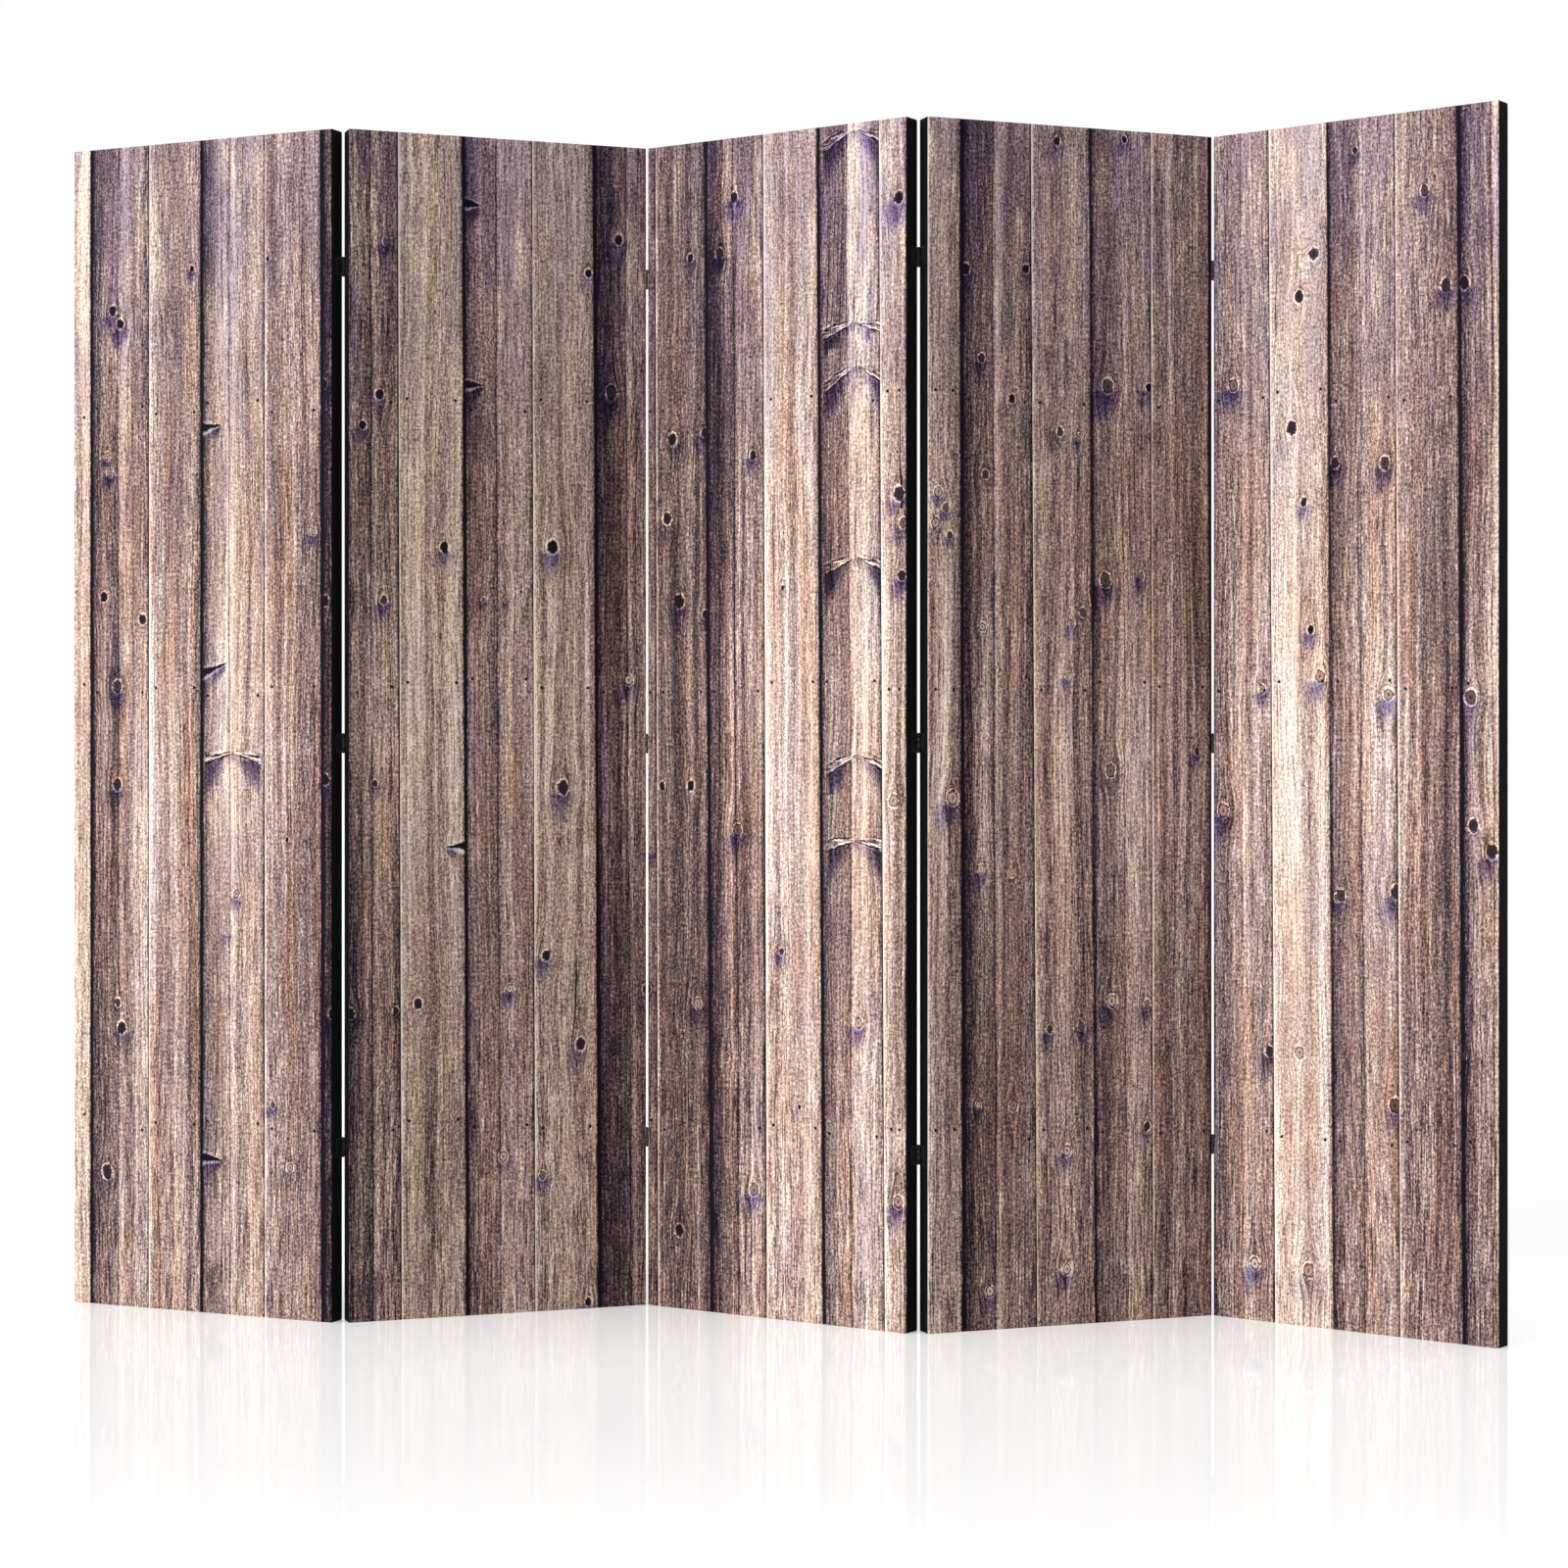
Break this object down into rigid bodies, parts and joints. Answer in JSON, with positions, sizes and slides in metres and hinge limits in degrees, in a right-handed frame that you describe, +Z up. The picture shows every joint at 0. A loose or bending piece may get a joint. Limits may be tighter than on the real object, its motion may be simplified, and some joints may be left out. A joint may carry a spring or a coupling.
{
  "type": "folding room divider screen",
  "caption": "Free-standing folding screen: printed cloth panels stretched on wooden frames, hinged edge to edge and standing in a zigzag.",
  "frame": {"origin": "middle of the open screen's outline, on the floor under the panels", "axes": "+X along the screen from panel 1 to panel 5, +Y from the printed faces to the backs, +Z up"},
  "size_m": [2.0926, 0.2578, 1.72],
  "materials": {
    "printed_canvas": "matte printed canvas, weathered boards, black at the edges",
    "backing_cloth": "matte black non-woven cloth",
    "frame_wood": "planed, uncoated pine",
    "hinge_black": "black, satin",
    "hinge_pin": "black, worn satin",
    "screw_black": "black, satin",
    "staple_wire": "bright galvanised wire"
  },
  "bodies": {
    "panel_1": {"panel_1_left_stile": "frame_wood", "panel_1_right_stile": "frame_wood", "panel_1_top_rail": "frame_wood", "panel_1_middle_rail": "frame_wood", "panel_1_bottom_rail": "frame_wood", "panel_1_front_canvas": "printed_canvas", "panel_1_back_cover": "backing_cloth", "panel_1_staples": "staple_wire", "panel_1_hinge_screws": "screw_black", "fold_1_left_leaves": "hinge_black", "fold_1_pins": "hinge_pin"},
    "panel_2": {"panel_2_left_stile": "frame_wood", "panel_2_right_stile": "frame_wood", "panel_2_top_rail": "frame_wood", "panel_2_middle_rail": "frame_wood", "panel_2_bottom_rail": "frame_wood", "panel_2_front_canvas": "printed_canvas", "panel_2_back_cover": "backing_cloth", "panel_2_staples": "staple_wire", "panel_2_hinge_screws": "screw_black", "fold_2_left_leaves": "hinge_black", "fold_2_pins": "hinge_pin", "fold_1_right_leaves": "hinge_black"},
    "panel_3": {"panel_3_left_stile": "frame_wood", "panel_3_right_stile": "frame_wood", "panel_3_top_rail": "frame_wood", "panel_3_middle_rail": "frame_wood", "panel_3_bottom_rail": "frame_wood", "panel_3_front_canvas": "printed_canvas", "panel_3_back_cover": "backing_cloth", "panel_3_staples": "staple_wire", "panel_3_hinge_screws": "screw_black", "fold_3_left_leaves": "hinge_black", "fold_3_pins": "hinge_pin", "fold_2_right_leaves": "hinge_black"},
    "panel_4": {"panel_4_left_stile": "frame_wood", "panel_4_right_stile": "frame_wood", "panel_4_top_rail": "frame_wood", "panel_4_middle_rail": "frame_wood", "panel_4_bottom_rail": "frame_wood", "panel_4_front_canvas": "printed_canvas", "panel_4_back_cover": "backing_cloth", "panel_4_staples": "staple_wire", "panel_4_hinge_screws": "screw_black", "fold_4_left_leaves": "hinge_black", "fold_4_pins": "hinge_pin", "fold_3_right_leaves": "hinge_black"},
    "panel_5": {"panel_5_left_stile": "frame_wood", "panel_5_right_stile": "frame_wood", "panel_5_top_rail": "frame_wood", "panel_5_middle_rail": "frame_wood", "panel_5_bottom_rail": "frame_wood", "panel_5_front_canvas": "printed_canvas", "panel_5_back_cover": "backing_cloth", "panel_5_staples": "staple_wire", "panel_5_hinge_screws": "screw_black", "fold_4_right_leaves": "hinge_black"}
  },
  "joints": [
    {"name": "fold_2", "type": "hinge", "parent": "panel_3", "child": "panel_2", "pos_m": [-0.19042, 0.10289, 0], "axis": [0, 0, 1], "range_deg": [-54, 126]},
    {"name": "fold_1", "type": "hinge", "parent": "panel_2", "child": "panel_1", "pos_m": [-0.60772, -0.07461, 0], "axis": [0, 0, -1], "range_deg": [-45, 135]},
    {"name": "fold_3", "type": "hinge", "parent": "panel_3", "child": "panel_4", "pos_m": [0.22688, -0.07461, 0], "axis": [0, 0, 1], "range_deg": [-54, 126]},
    {"name": "fold_4", "type": "hinge", "parent": "panel_4", "child": "panel_5", "pos_m": [0.64418, 0.10289, 0], "axis": [0, 0, -1], "range_deg": [-58, 122]}
  ],
  "couplings": [
    {"joint": "fold_3", "follows": "fold_2", "ratio": 1}
  ]
}
